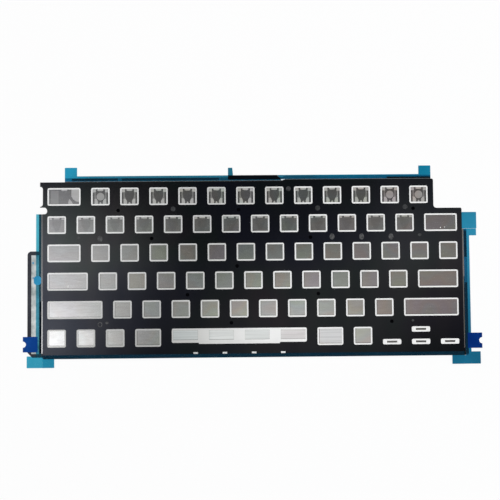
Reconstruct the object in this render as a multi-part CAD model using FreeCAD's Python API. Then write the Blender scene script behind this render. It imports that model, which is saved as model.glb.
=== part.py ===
import FreeCAD, Part
import math
import os

# Keyboard backlight: a stack of laminated films with a window for every key,
# a light guide lit by a row of side LEDs, and liner-covered adhesive edges.
# Millimetres, +Z towards the keys, origin under the middle of the key grid.

# Key grid: its size, and the keys of each row from the top in key units
GRID_LENGTH = 275.5
GRID_HEIGHT = 111.0
GRID_UNITS = 14.5
ROW_UNITS = (
    (1.5,) + (1.0,) * 12,
    (1.0,) * 13 + (1.5,),
    (1.5,) + (1.0,) * 13,
    (1.75,) + (1.0,) * 11 + (1.75,),
    (2.25,) + (1.0,) * 10 + (2.25,),
    (1.0, 1.0, 1.0, 1.25, 5.0, 1.25, 1.0, 1.0, 1.0, 1.0),
)
SPACE_KEY = 4
FIRST_ARROW_KEY = 7
UP_DOWN_KEY = 8

# Key windows: the black opening, and the white border that shows inside it
WINDOW_GAP = 6.9
WINDOW_RADIUS = 1.0
FRAME_BORDER = 0.95
ARROW_HEIGHT = 3.5
ARROW_RADIUS = 0.8
ARROW_SLOT_LENGTH = 6.8
ARROW_SLOT_HEIGHT = 1.3
SPACE_HEIGHT = 9.3
SPACE_MIDDLE_WIDTH = 53.0
SPACE_MIDDLE_DROP = 0.8
SPACE_STEP_RADIUS = 0.3
SPACE_PANES = 4
SPACE_BAR_WIDTH = 7.3
SPACE_TOP_BORDER = 1.2
SPACE_BOTTOM_BORDER = 1.8

# Panel outline, as margins from the outermost windows
LEFT_MARGIN = 3.0
RIGHT_MARGIN = 3.2
TOP_MARGIN = 3.77
TOP_RAISE = 0.8
RAISE_GAP = 0.5
RAISE_RUN = 2.0
BOTTOM_MARGIN = 7.45
STEP_MARGIN = 3.7
STEP_RADIUS = 2.0
CORNER_RADIUS = 1.0

# Left edge: a shallow notch between two ears, and a round-ended slot below it
EAR_REACH = 1.8
EAR_RADIUS = 0.25
EAR_HEIGHT = 2.87
EAR_TIP = 0.6
NOTCH_HEIGHT = 13.1
NOTCH_RADIUS = 1.75
SLOT_HEIGHT = 4.3
SLOT_DEPTH = 2.8

# Small openings: blind relief holes by row boundary, each at its key units, and bottom slots
RELIEF_RADIUS = 1.2
RELIEF_SIDES = 12
RELIEF_HOLES = {
    1: (2.61, 6.76, 12.80),
    2: (3.76, 9.23),
    3: (6.69,),
    4: (4.98, 9.48),
    5: (6.48, 12.00),
}
BOTTOM_SLOT_COUNT = 4
BOTTOM_SLOT_FIRST_UNIT = 5.25
BOTTOM_SLOT_LENGTH = 3.0
BOTTOM_SLOT_HEIGHT = 1.2
BOTTOM_SLOT_RISE = 3.7

# Film thicknesses, from the underside up
BACK_T = 0.10
REFLECTOR_T = 0.10
GUIDE_T = 0.30
FRAME_T = 0.05
MASK_T = 0.10
TAPE_T = 0.10
LINER_T = 0.075
REAR_TAPE_T = 0.025
STRIP_T = 0.05
PULL_TAB_T = 0.075
FRAME_INSET = 0.3

# Lips of the light guide past the mask, and the liners' clearance from them
GUIDE_LIP_LEFT = 1.0
GUIDE_LIP_TOP = 0.35
GUIDE_LIP_RIGHT = 0.95
GUIDE_LIP_END = 3.65
EDGE_GAP = 0.05
SEAM_GAP = 0.1
FLANGE_EDGE = 0.2

# Black adhesive tape on the flanges
LEFT_TAPE_WIDTH = 1.35
TOP_TAPE_GAP = 0.55
TOP_TAPE_WIDTH = 1.5
TOP_TAPE_START = 4.7
TOP_TAPE_SHORT = 29.9
TOP_TAPE_BREAK = 2.6
TOP_TAPE_END_GAP = 6.0
TOP_RIGHT_TAPE_GAP = 0.2
TOP_RIGHT_TAPE_WIDTH = 0.85
TOP_RIGHT_TAPE_LENGTH = 29.1
RIGHT_TAPE_GAP = 0.25
RIGHT_TAPE_WIDTH = 1.65
RIGHT_UPPER_TAPE_START = 1.1
RIGHT_UPPER_TAPE = 17.6
RIGHT_TAPE_BREAK = 16.65
BOTTOM_TAPE_WIDTH = 1.7
BOTTOM_TAPE_INSET = 0.3
CENTRE_TAPE_LENGTH = 32.2
CENTRE_TAPE_SLANT = 2.9
CENTRE_TAPE_WIDTH = 2.85

# Blue release liners with their pull ends
LINER_RADIUS = 0.3
LEFT_LINER_REACH = 4.37
TOP_LINER_REACH = 3.9
RIGHT_LINER_REACH = 4.7
BOTTOM_LINER_WIDTH = 2.5
TOP_LINER_START = 14.3
TOP_TAB_LENGTH = 8.0
TOP_TAB_RISE = 5.65
TOP_END_TAB_LENGTH = 3.3
TOP_END_TAB_TOP = 2.85
TOP_END_TAB_RISE = 5.0
TOP_RIGHT_LINER_SLANT = 2.6
TOP_RIGHT_LINER_END = 1.55
RIGHT_LINER_DROP = 13.85
RIGHT_TAB_REACH = 9.35
RIGHT_TAB_HEIGHT = 4.55
REAR_LINER_DROP = 2.87
REAR_TAB_REACH = 9.7
REAR_PAD_DEPTH = 4.0
REAR_PAD_INSET = 0.3
CORNER_TAB_DROP = 5.65
CORNER_TAB_RISE = 2.35
LEFT_CORNER_TAB_LENGTH = 7.6
RIGHT_CORNER_TAB_LENGTH = 9.0
LEFT_CORNER_TAB_REACH = 10.3
LEFT_CORNER_TAB_LAP = 0.9
RIGHT_CORNER_TAB_REACH = 10.7

# Flex circuit with its LEDs and white cover strip, on the left edge
FLEX_REACH = 9.95
FLEX_TUCK = 1.9
FLEX_HEIGHT = 69.1
FLEX_RISE = 1.05
FLEX_RADIUS = 2.6
FLEX_CUT_X = 3.1
FLEX_CUT_Y = 3.4
FLEX_CUT_RADIUS = 1.5
FLEX_CLEARANCE = 0.1
STRIP_BORDER = 2.55
STRIP_BOTTOM_BORDER = 2.4
LED_COUNT = 6
LED_END_MARGIN = 5.65
LED_LENGTH = 3.0
LED_DEPTH = 0.8
LED_INSET = 0.5
LED_CLEARANCE = 0.08
LED_HEADROOM = 0.02

# Dark pull tabs, and the small patch that holds the left liner to the flex
PULL_TAB_WIDTH = 9.5
PULL_TAB_HEIGHT = 10.0
PULL_TAB_RISE = 4.58
PULL_TAB_BITE = 2.0
LEFT_PULL_LAP = 1.07
RIGHT_PULL_LAP = 2.3
PATCH_LENGTH = 4.7
PATCH_HEIGHT = 5.7
PATCH_CORNER = 1.2
PATCH_ROW = 3.11

# Grid edges and the windows next to them
key_pitch_x = GRID_LENGTH / GRID_UNITS
key_pitch_y = GRID_HEIGHT / len(ROW_UNITS)
grid_left = -GRID_LENGTH / 2
grid_top = GRID_HEIGHT / 2
half_gap = WINDOW_GAP / 2
windows_left = grid_left + half_gap
windows_right = -windows_left
windows_top = grid_top - half_gap
windows_bottom = -windows_top

# Panel edges
mask_left = windows_left - LEFT_MARGIN
mask_right = windows_right + RIGHT_MARGIN
mask_top = windows_top + TOP_MARGIN
mask_top_right = mask_top + TOP_RAISE
mask_bottom = windows_bottom - BOTTOM_MARGIN
step_x = grid_left + sum(ROW_UNITS[0]) * key_pitch_x - half_gap + STEP_MARGIN
step_y = grid_top - key_pitch_y - half_gap + STEP_MARGIN
raise_start = CENTRE_TAPE_LENGTH / 2 + CENTRE_TAPE_SLANT + RAISE_GAP
ear_x = mask_left - EAR_REACH
notch_top = mask_top - EAR_HEIGHT
notch_bottom = notch_top - NOTCH_HEIGHT
slot_top = notch_bottom - EAR_TIP
slot_bottom = slot_top - SLOT_HEIGHT
slot_end = mask_left + SLOT_DEPTH

# Edges of the light guide, tapes and liners
guide_left = mask_left - GUIDE_LIP_LEFT
guide_right = mask_right + GUIDE_LIP_RIGHT
guide_left_end = mask_bottom + GUIDE_LIP_END
top_liner_start = mask_left + TOP_LINER_START
top_liner_edge = mask_top + TOP_LINER_REACH
top_right_liner_end = step_x - TOP_RIGHT_LINER_END
left_tape_edge = guide_left - EDGE_GAP - LEFT_TAPE_WIDTH
top_tape_low = mask_top + GUIDE_LIP_TOP + TOP_TAPE_GAP
top_right_tape_low = mask_top_right + GUIDE_LIP_TOP + TOP_RIGHT_TAPE_GAP
right_tape_low = guide_right + RIGHT_TAPE_GAP
left_liner_edge = mask_left - LEFT_LINER_REACH
right_liner_edge = mask_right + RIGHT_LINER_REACH
right_liner_top = step_y - RIGHT_LINER_DROP
right_liner_inner = guide_right + EDGE_GAP
corner_tab_low = mask_bottom - CORNER_TAB_DROP
corner_tab_top = mask_bottom + CORNER_TAB_RISE

# Edges of the flex circuit
flex_left = mask_left - FLEX_REACH
flex_right = mask_left + FLEX_TUCK
flex_bottom = mask_bottom + FLEX_RISE
flex_top = flex_bottom + FLEX_HEIGHT

# Heights of the layers
reflector_z = BACK_T
guide_z = reflector_z + REFLECTOR_T
frame_z = guide_z + GUIDE_T
mask_z = frame_z + FRAME_T
mask_top_z = mask_z + MASK_T
liner_z = guide_z + TAPE_T
pull_tab_z = liner_z + LINER_T

# Most of a side that one corner's arc may take, with and without an arc at its other end
SHARED_SIDE = 0.49
WHOLE_SIDE = 0.98


def point(x, y):
    return FreeCAD.Vector(x, y, 0)


def free_length(side, neighbour_radius):
    """How much of a side a corner's arc may take: under half where the next corner is round too."""
    return side.Length * (SHARED_SIDE if neighbour_radius > 0 else WHOLE_SIDE)


def rounded_corner(before, corner, after):
    """The arc that rounds a corner, limited by its two sides: start, middle and end."""
    place = point(*corner[:2])
    to_before = point(*before[:2]) - place
    to_after = point(*after[:2]) - place
    half_angle = to_before.getAngle(to_after) / 2
    longest = min(free_length(to_before, before[2]), free_length(to_after, after[2]))
    setback = min(corner[2] / math.tan(half_angle), longest)
    radius = setback * math.tan(half_angle)
    to_before.normalize()
    to_after.normalize()
    bisector = (to_before + to_after).normalize()
    centre = place + bisector * (radius / math.sin(half_angle))
    start = place + to_before * setback
    end = place + to_after * setback
    return start, centre - bisector * radius, end


def outline(corners, chorded=False):
    """A closed wire through (x, y, radius) corners, rounded by a tangent arc, or by two chords of it."""
    stops = []
    for index, corner in enumerate(corners):
        if corner[2] > 0:
            stops.append(rounded_corner(corners[index - 1], corner, corners[(index + 1) % len(corners)]))
        else:
            stops.append((point(*corner[:2]),))
    edges = []
    for index, stop in enumerate(stops):
        edges.append(Part.makeLine(stops[index - 1][-1], stop[0]))
        if len(stop) > 1 and chorded:
            edges += [Part.makeLine(stop[0], stop[1]), Part.makeLine(stop[1], stop[2])]
        elif len(stop) > 1:
            edges.append(Part.Arc(*stop).toShape())
    return Part.Wire(edges)


def rectangle(left, bottom, right, top, radius=0, chorded=False):
    corners = ((left, bottom), (right, bottom), (right, top), (left, top))
    return outline([(x, y, radius) for x, y in corners], chorded)


def window(box, radius):
    """A key window: there are many, so each corner is two chords of its arc."""
    return rectangle(*box, radius, chorded=True)


def relief_hole(x, y):
    """A small round hole, as a regular polygon."""
    corners = []
    for index in range(RELIEF_SIDES):
        angle = 2 * math.pi * index / RELIEF_SIDES
        corners.append((x + RELIEF_RADIUS * math.cos(angle), y + RELIEF_RADIUS * math.sin(angle), 0))
    return outline(corners)


def sheet(z, thickness, outer, openings=()):
    """A flat film: one outer wire, with openings cut through it."""
    face = Part.makeFace([outer, *openings], "Part::FaceMakerBullseye")
    solid = face.extrude(FreeCAD.Vector(0, 0, thickness))
    solid.translate(FreeCAD.Vector(0, 0, z))
    return solid


def strip(z, thickness, left, bottom, right, top):
    return sheet(z, thickness, rectangle(left, bottom, right, top))


# Key windows

def row_top(row):
    return grid_top - row * key_pitch_y - half_gap


def row_bottom(row):
    return grid_top - (row + 1) * key_pitch_y + half_gap


def unit_x(units):
    return grid_left + units * key_pitch_x


def key_spans():
    """Every key as (row, index in its row, left of its window, right of its window)."""
    for row, units in enumerate(ROW_UNITS):
        start = 0.0
        for index, width in enumerate(units):
            yield row, index, unit_x(start) + half_gap, unit_x(start + width) - half_gap
            start += width


def is_bottom_row(row):
    return row == len(ROW_UNITS) - 1


def arrow_boxes(row, index, left, right):
    """Half-height windows: one at the row's foot, and for the middle key one at its head too."""
    low = row_bottom(row)
    boxes = [(left, low, right, low + ARROW_HEIGHT)]
    if index == UP_DOWN_KEY:
        high = row_top(row)
        boxes.append((left, high - ARROW_HEIGHT, right, high))
    return boxes


def space_opening(left, right, top):
    """The long window, a little deeper along its middle."""
    middle = (left + right) / 2
    low = top - SPACE_HEIGHT
    drop = low - SPACE_MIDDLE_DROP
    start = middle - SPACE_MIDDLE_WIDTH / 2
    end = middle + SPACE_MIDDLE_WIDTH / 2
    return outline([
        (left, top, WINDOW_RADIUS), (left, low, WINDOW_RADIUS),
        (start, low, SPACE_STEP_RADIUS), (start, drop, SPACE_STEP_RADIUS),
        (end, drop, SPACE_STEP_RADIUS), (end, low, SPACE_STEP_RADIUS),
        (right, low, WINDOW_RADIUS), (right, top, WINDOW_RADIUS),
    ], chorded=True)


def space_panes(left, right, top):
    """The clear panes that the white film leaves in the long window."""
    length = right - left - 2 * FRAME_BORDER
    pane = (length - (SPACE_PANES - 1) * SPACE_BAR_WIDTH) / SPACE_PANES
    low = top - SPACE_HEIGHT + SPACE_BOTTOM_BORDER
    for index in range(SPACE_PANES):
        start = left + FRAME_BORDER + index * (pane + SPACE_BAR_WIDTH)
        yield rectangle(start, low, start + pane, top - SPACE_TOP_BORDER)


def mask_windows():
    windows = []
    for row, index, left, right in key_spans():
        if is_bottom_row(row) and index == SPACE_KEY:
            windows.append(space_opening(left, right, row_top(row)))
        elif is_bottom_row(row) and index >= FIRST_ARROW_KEY:
            windows += [window(box, ARROW_RADIUS) for box in arrow_boxes(row, index, left, right)]
        else:
            windows.append(window((left, row_bottom(row), right, row_top(row)), WINDOW_RADIUS))
    return windows


def frame_windows():
    windows = []
    for row, index, left, right in key_spans():
        if is_bottom_row(row) and index == SPACE_KEY:
            windows += space_panes(left, right, row_top(row))
        elif is_bottom_row(row) and index >= FIRST_ARROW_KEY:
            windows += [arrow_slot(*box) for box in arrow_boxes(row, index, left, right)]
        else:
            windows.append(rectangle(
                left + FRAME_BORDER, row_bottom(row) + FRAME_BORDER,
                right - FRAME_BORDER, row_top(row) - FRAME_BORDER))
    return windows


def arrow_slot(left, bottom, right, top):
    x = (left + right) / 2
    y = (bottom + top) / 2
    half_length = ARROW_SLOT_LENGTH / 2
    half_height = ARROW_SLOT_HEIGHT / 2
    return rectangle(x - half_length, y - half_height, x + half_length, y + half_height)


def relief_holes():
    holes = []
    for row, places in RELIEF_HOLES.items():
        holes += [relief_hole(unit_x(units), grid_top - row * key_pitch_y) for units in places]
    return holes


def bottom_slots():
    y = mask_bottom + BOTTOM_SLOT_RISE
    for index in range(BOTTOM_SLOT_COUNT):
        x = unit_x(BOTTOM_SLOT_FIRST_UNIT + index)
        half = BOTTOM_SLOT_LENGTH / 2
        yield rectangle(x - half, y - BOTTOM_SLOT_HEIGHT, x + half, y)


# Panel outline

def panel_outline(left_side, right_side, top_reach):
    """The panel's edge: ears, notch and slot at the left, then the given sides, the step and the top,
    which reaches further up beside the liners."""
    top_right = mask_top_right + top_reach
    top_left = mask_top + top_reach
    corners = [
        (ear_x, mask_top, EAR_RADIUS), (ear_x, notch_top, 0),
        (mask_left, notch_top, NOTCH_RADIUS), (mask_left, notch_bottom, NOTCH_RADIUS),
        (ear_x, notch_bottom, 0), (ear_x, slot_top, EAR_RADIUS),
        (slot_end, slot_top, SLOT_HEIGHT / 2), (slot_end, slot_bottom, SLOT_HEIGHT / 2),
        *left_side, *right_side,
        (step_x, step_y, STEP_RADIUS), (step_x, mask_top_right, CORNER_RADIUS),
    ]
    if top_reach > 0:
        corners += [(top_right_liner_end, mask_top_right, 0), (top_right_liner_end, top_right, 0)]
    corners += [(raise_start + RAISE_RUN, top_right, CORNER_RADIUS), (raise_start, top_left, CORNER_RADIUS)]
    if top_reach > 0:
        corners += [(top_liner_start, top_left, 0), (top_liner_start, mask_top, 0)]
    return outline(corners)


def mask_outline():
    left_side = [(mask_left, slot_bottom, EAR_RADIUS), (mask_left, mask_bottom, CORNER_RADIUS)]
    right_side = [(mask_right, mask_bottom, CORNER_RADIUS), (mask_right, step_y, CORNER_RADIUS)]
    return panel_outline(left_side, right_side, 0)


def guide_outline():
    """The panel's edge with narrow lips towards the LEDs and along the taped edges."""
    left_side = [
        (guide_left, slot_bottom, EAR_RADIUS), (guide_left, guide_left_end, 0),
        (mask_left, guide_left_end, 0), (mask_left, mask_bottom, CORNER_RADIUS),
    ]
    right_side = [
        (guide_right, mask_bottom, CORNER_RADIUS), (guide_right, right_liner_top, 0),
        (mask_right, right_liner_top, 0), (mask_right, step_y, CORNER_RADIUS),
    ]
    return panel_outline(left_side, right_side, GUIDE_LIP_TOP)


def reflector_outline():
    """The panel's edge with the flanges that carry the tapes, cut back beside the flex circuit."""
    flange_left = left_tape_edge - FLANGE_EDGE
    flange_right = right_tape_low + RIGHT_TAPE_WIDTH + FLANGE_EDGE
    flange_top = top_tape_low + TOP_TAPE_WIDTH + FLANGE_EDGE - mask_top
    beside_flex = flex_right + FLEX_CLEARANCE
    above_flex = flex_top + FLEX_CLEARANCE
    left_side = [
        (flange_left, slot_bottom, EAR_RADIUS), (flange_left, above_flex, 0),
        (beside_flex, above_flex, 0), (beside_flex, mask_bottom, CORNER_RADIUS),
    ]
    right_side = [
        (flange_right, mask_bottom, CORNER_RADIUS), (flange_right, right_liner_top, 0),
        (mask_right, right_liner_top, 0), (mask_right, step_y, CORNER_RADIUS),
    ]
    return panel_outline(left_side, right_side, flange_top)


# Panel films

def mask_film():
    openings = mask_windows() + relief_holes() + list(bottom_slots())
    return sheet(mask_z, MASK_T, mask_outline(), openings)


def window_frame_film():
    """White film, a little inside the mask's edge so that only its window borders show."""
    inset = FRAME_INSET
    edge = outline([
        (mask_left + inset, mask_top - inset, 0), (mask_left + inset, slot_top + inset, 0),
        (slot_end + inset, slot_top + inset, 0), (slot_end + inset, slot_bottom - inset, 0),
        (mask_left + inset, slot_bottom - inset, 0), (mask_left + inset, mask_bottom + inset, 0),
        (mask_right - inset, mask_bottom + inset, 0), (mask_right - inset, step_y - inset, 0),
        (step_x - inset, step_y - inset, STEP_RADIUS), (step_x - inset, mask_top - inset, 0),
    ])
    return sheet(frame_z, FRAME_T, edge, frame_windows() + relief_holes())


def led_places():
    first = flex_bottom + LED_END_MARGIN + LED_LENGTH / 2
    last = flex_top - LED_END_MARGIN - LED_LENGTH / 2
    pitch = (last - first) / (LED_COUNT - 1)
    return [first + index * pitch for index in range(LED_COUNT)]


def led_box(y, clearance):
    left = mask_left + LED_INSET
    half = LED_LENGTH / 2 + clearance
    return rectangle(left - clearance, y - half, left + LED_DEPTH + clearance, y + half)


def light_guide():
    pockets = [led_box(y, LED_CLEARANCE) for y in led_places()]
    return sheet(guide_z, GUIDE_T, guide_outline(), relief_holes() + pockets)


def reflector_film():
    return sheet(reflector_z, REFLECTOR_T, reflector_outline(), relief_holes())


def rear_recess():
    """Where the rear adhesive pad sits in the back film: left, bottom, right, top."""
    return mask_right - REAR_PAD_DEPTH, right_liner_top + SEAM_GAP, mask_right, step_y - REAR_LINER_DROP


def back_film():
    film = sheet(0, BACK_T, guide_outline())
    left, bottom, right, top = rear_recess()
    recess = strip(0, BACK_T, left - SEAM_GAP, bottom - SEAM_GAP, guide_right + SEAM_GAP, top + SEAM_GAP)
    return film.cut(recess)


# Flex circuit and LEDs

def led_flex():
    edge = outline([
        (flex_left, flex_top, FLEX_RADIUS), (flex_left, flex_bottom + FLEX_CUT_Y, FLEX_CUT_RADIUS),
        (flex_left + FLEX_CUT_X, flex_bottom, FLEX_CUT_RADIUS), (flex_right, flex_bottom, 0),
        (flex_right, flex_top, 0),
    ])
    return sheet(reflector_z, REFLECTOR_T, edge)


def side_leds():
    height = GUIDE_T - LED_HEADROOM
    return Part.makeCompound([sheet(guide_z, height, led_box(y, 0)) for y in led_places()])


def flex_cover_strip():
    return strip(
        guide_z, STRIP_T, flex_left + STRIP_BORDER, flex_bottom + STRIP_BOTTOM_BORDER,
        left_tape_edge - EDGE_GAP, flex_top - STRIP_BORDER)


# Tapes

def left_edge_tape():
    return strip(guide_z, TAPE_T, left_tape_edge, flex_bottom, guide_left - EDGE_GAP, slot_bottom)


def top_left_tapes():
    start = top_liner_start + TOP_TAPE_START
    middle = start + TOP_TAPE_SHORT
    high = top_tape_low + TOP_TAPE_WIDTH
    resume = middle + TOP_TAPE_BREAK
    short = strip(guide_z, TAPE_T, start, top_tape_low, middle, high)
    end = -CENTRE_TAPE_LENGTH / 2 - TOP_TAPE_END_GAP
    long = strip(guide_z, TAPE_T, resume, top_tape_low, end, high)
    return short, long


def top_right_tape():
    end = top_right_liner_end
    low = top_right_tape_low
    return strip(guide_z, TAPE_T, end - TOP_RIGHT_TAPE_LENGTH, low, end, low + TOP_RIGHT_TAPE_WIDTH)


def right_tapes():
    left = right_tape_low
    right = left + RIGHT_TAPE_WIDTH
    top = right_liner_top - RIGHT_UPPER_TAPE_START
    break_top = top - RIGHT_UPPER_TAPE
    upper = strip(guide_z, TAPE_T, left, break_top, right, top)
    lower = strip(guide_z, TAPE_T, left, mask_bottom + CORNER_RADIUS, right, break_top - RIGHT_TAPE_BREAK)
    return upper, lower


def bottom_edge_tape():
    inset = BOTTOM_TAPE_INSET
    low = mask_bottom + inset
    return strip(mask_top_z, TAPE_T, mask_left + inset, low, mask_right - inset, low + BOTTOM_TAPE_WIDTH)


def top_centre_tape():
    """Wide black tape on the liner, with a slanted right end."""
    half = CENTRE_TAPE_LENGTH / 2
    low = top_liner_edge - CENTRE_TAPE_WIDTH
    edge = outline([
        (-half, top_liner_edge, 0), (-half, low, 0),
        (half + CENTRE_TAPE_SLANT, low, 0), (half, top_liner_edge, 0),
    ])
    return sheet(pull_tab_z, TAPE_T, edge)


def rear_pad_tape():
    left, bottom, right, top = rear_recess()
    inset = REAR_PAD_INSET
    return strip(BACK_T - REAR_TAPE_T, REAR_TAPE_T, left + inset, bottom + inset, right - inset, top - inset)


# Liners

def left_liner():
    inner = guide_left - EDGE_GAP
    seam = mask_left - SEAM_GAP
    tab_left = mask_left - LEFT_CORNER_TAB_REACH
    tab_top = flex_bottom + LEFT_CORNER_TAB_LAP
    edge = outline([
        (left_liner_edge, slot_bottom, LINER_RADIUS), (left_liner_edge, tab_top, LINER_RADIUS),
        (tab_left, tab_top, LINER_RADIUS), (tab_left, corner_tab_low, LINER_RADIUS),
        (seam, corner_tab_low, 0), (seam, tab_top, 0),
        (inner, tab_top, 0), (inner, slot_bottom, LINER_RADIUS),
    ])
    return sheet(liner_z, LINER_T, edge)


def top_left_liner():
    """Strip along the top edge, with a square tab at its start and a tapered one before the wide tape."""
    low = mask_top + GUIDE_LIP_TOP + EDGE_GAP
    high = top_liner_edge
    tab_end = top_liner_start + TOP_TAB_LENGTH
    taper_start = -CENTRE_TAPE_LENGTH / 2
    end = CENTRE_TAPE_LENGTH / 2
    edge = outline([
        (top_liner_start, high + TOP_TAB_RISE, LINER_RADIUS), (top_liner_start, low, LINER_RADIUS),
        (end + CENTRE_TAPE_SLANT, low, 0), (end, high, 0),
        (taper_start + TOP_END_TAB_LENGTH, high, LINER_RADIUS),
        (taper_start + TOP_END_TAB_TOP, high + TOP_END_TAB_RISE, LINER_RADIUS),
        (taper_start, high + TOP_END_TAB_RISE, LINER_RADIUS), (taper_start, high, LINER_RADIUS),
        (tab_end, high, LINER_RADIUS), (tab_end, high + TOP_TAB_RISE, LINER_RADIUS),
    ])
    return sheet(liner_z, LINER_T, edge)


def top_right_liner():
    low = mask_top_right + GUIDE_LIP_TOP + EDGE_GAP
    high = top_liner_edge
    start = CENTRE_TAPE_LENGTH / 2 + SEAM_GAP
    end = top_right_liner_end
    edge = outline([
        (start, high, 0), (start + TOP_RIGHT_LINER_SLANT, low, 0), (end, low, LINER_RADIUS),
        (end, high + TOP_TAB_RISE, LINER_RADIUS), (end - TOP_TAB_LENGTH, high + TOP_TAB_RISE, LINER_RADIUS),
        (end - TOP_TAB_LENGTH, high, LINER_RADIUS),
    ])
    return sheet(liner_z, LINER_T, edge)


def right_liner():
    inner = right_liner_inner
    tab_right = mask_right + RIGHT_TAB_REACH
    tab_low = right_liner_top - RIGHT_TAB_HEIGHT
    corner_right = mask_right + RIGHT_CORNER_TAB_REACH
    edge = outline([
        (inner, right_liner_top, 0), (inner, corner_tab_low, 0),
        (corner_right, corner_tab_low, LINER_RADIUS), (corner_right, corner_tab_top, LINER_RADIUS),
        (right_liner_edge, corner_tab_top, LINER_RADIUS), (right_liner_edge, tab_low, LINER_RADIUS),
        (tab_right, tab_low, LINER_RADIUS), (tab_right, right_liner_top, LINER_RADIUS),
    ])
    return sheet(liner_z, LINER_T, edge)


def bottom_liner():
    """Strip over the mask's lower border, with a tab at each end past the panel's edge."""
    left = mask_left
    right = right_liner_inner - SEAM_GAP
    left_end = left + LEFT_CORNER_TAB_LENGTH
    right_start = right - RIGHT_CORNER_TAB_LENGTH
    high = mask_bottom + BOTTOM_LINER_WIDTH
    edge = outline([
        (left, high, 0), (left, corner_tab_low, 0),
        (left_end, corner_tab_low, LINER_RADIUS), (left_end, mask_bottom, LINER_RADIUS),
        (right_start, mask_bottom, LINER_RADIUS), (right_start, corner_tab_low, LINER_RADIUS),
        (right, corner_tab_low, 0), (right, mask_bottom, 0),
        (mask_right, mask_bottom, 0), (mask_right, high, 0),
    ])
    return sheet(mask_top_z + TAPE_T, LINER_T, edge)


def rear_pad_liner():
    left, bottom, right, top = rear_recess()
    edge = rectangle(left, bottom, mask_right + REAR_TAB_REACH, top, LINER_RADIUS)
    return sheet(0, BACK_T - REAR_TAPE_T, edge)


# Pull tabs and holding patch

def pull_tab(inner, direction):
    """A square tab from its inner edge outwards, with a round bite in the outer edge."""
    outer = inner + direction * PULL_TAB_WIDTH
    low = mask_bottom + PULL_TAB_RISE
    high = low + PULL_TAB_HEIGHT
    tab = strip(pull_tab_z, PULL_TAB_T, min(inner, outer), low, max(inner, outer), high)
    bite_edge = Part.Wire([Part.makeCircle(PULL_TAB_BITE, point(outer, (low + high) / 2))])
    bite = sheet(pull_tab_z, PULL_TAB_T, bite_edge)
    return tab.cut(bite)


def left_hold_patch():
    right = guide_left - EDGE_GAP
    left = right - PATCH_LENGTH
    high = grid_top - PATCH_ROW * key_pitch_y - half_gap
    low = high - PATCH_HEIGHT
    cut = PATCH_CORNER
    edge = outline([
        (left, high - cut, 0), (left, low + cut, 0), (left + cut, low, 0), (right - cut, low, 0),
        (right, low + cut, 0), (right, high - cut, 0), (right - cut, high, 0), (left + cut, high, 0),
    ])
    return sheet(pull_tab_z, LINER_T, edge)


short_tape, long_tape = top_left_tapes()
upper_tape, lower_tape = right_tapes()
PIECES = {
    "back_film": back_film(),
    "reflector_film": reflector_film(),
    "light_guide": light_guide(),
    "window_frame_film": window_frame_film(),
    "mask_film": mask_film(),
    "led_flex": led_flex(),
    "side_leds": side_leds(),
    "flex_cover_strip": flex_cover_strip(),
    "left_edge_tape": left_edge_tape(),
    "top_left_tape_short": short_tape,
    "top_left_tape_long": long_tape,
    "top_centre_tape": top_centre_tape(),
    "top_right_tape": top_right_tape(),
    "right_upper_tape": upper_tape,
    "right_lower_tape": lower_tape,
    "bottom_edge_tape": bottom_edge_tape(),
    "rear_pad_tape": rear_pad_tape(),
    "left_liner": left_liner(),
    "top_left_liner": top_left_liner(),
    "top_right_liner": top_right_liner(),
    "right_liner": right_liner(),
    "bottom_liner": bottom_liner(),
    "rear_pad_liner": rear_pad_liner(),
    "left_hold_patch": left_hold_patch(),
    "left_pull_tab": pull_tab(left_liner_edge + LEFT_PULL_LAP, -1),
    "right_pull_tab": pull_tab(right_liner_edge - RIGHT_PULL_LAP, 1),
}

os.makedirs("parts", exist_ok=True)
for name, shape in PIECES.items():
    shape.exportStep("parts/" + name + ".step")
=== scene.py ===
import math

import bpy
from mathutils import Matrix, Vector


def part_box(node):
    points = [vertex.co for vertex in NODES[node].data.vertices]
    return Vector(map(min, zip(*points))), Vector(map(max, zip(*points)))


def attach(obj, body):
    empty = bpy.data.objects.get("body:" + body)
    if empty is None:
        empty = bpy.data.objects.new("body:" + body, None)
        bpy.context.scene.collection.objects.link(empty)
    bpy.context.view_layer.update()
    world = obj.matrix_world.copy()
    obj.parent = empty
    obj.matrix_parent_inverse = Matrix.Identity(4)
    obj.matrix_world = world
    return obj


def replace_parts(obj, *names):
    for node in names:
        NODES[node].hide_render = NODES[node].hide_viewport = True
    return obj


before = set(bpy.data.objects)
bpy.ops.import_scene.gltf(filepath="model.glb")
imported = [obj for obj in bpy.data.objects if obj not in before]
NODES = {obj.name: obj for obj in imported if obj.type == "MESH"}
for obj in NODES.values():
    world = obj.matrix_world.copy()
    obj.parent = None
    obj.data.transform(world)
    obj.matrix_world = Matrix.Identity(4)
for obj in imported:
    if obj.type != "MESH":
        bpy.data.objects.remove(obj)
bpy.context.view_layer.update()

MM = 0.001
scene = bpy.context.scene
scene.view_settings.view_transform = "Standard"


def node_top(name):
    """Height of a node's upper face in millimetres."""
    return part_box(name)[1].z / MM


# Heights in millimetres
GUIDE_TOP = node_top("light_guide")
MASK_TOP = node_top("mask_film")
PRINT_GAP = 0.002
PRINT_THICKNESS = 0.004
SMEAR_THICKNESS = 0.006
LINER_LIFT = 0.012
MARK_GAP = 0.004

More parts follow.
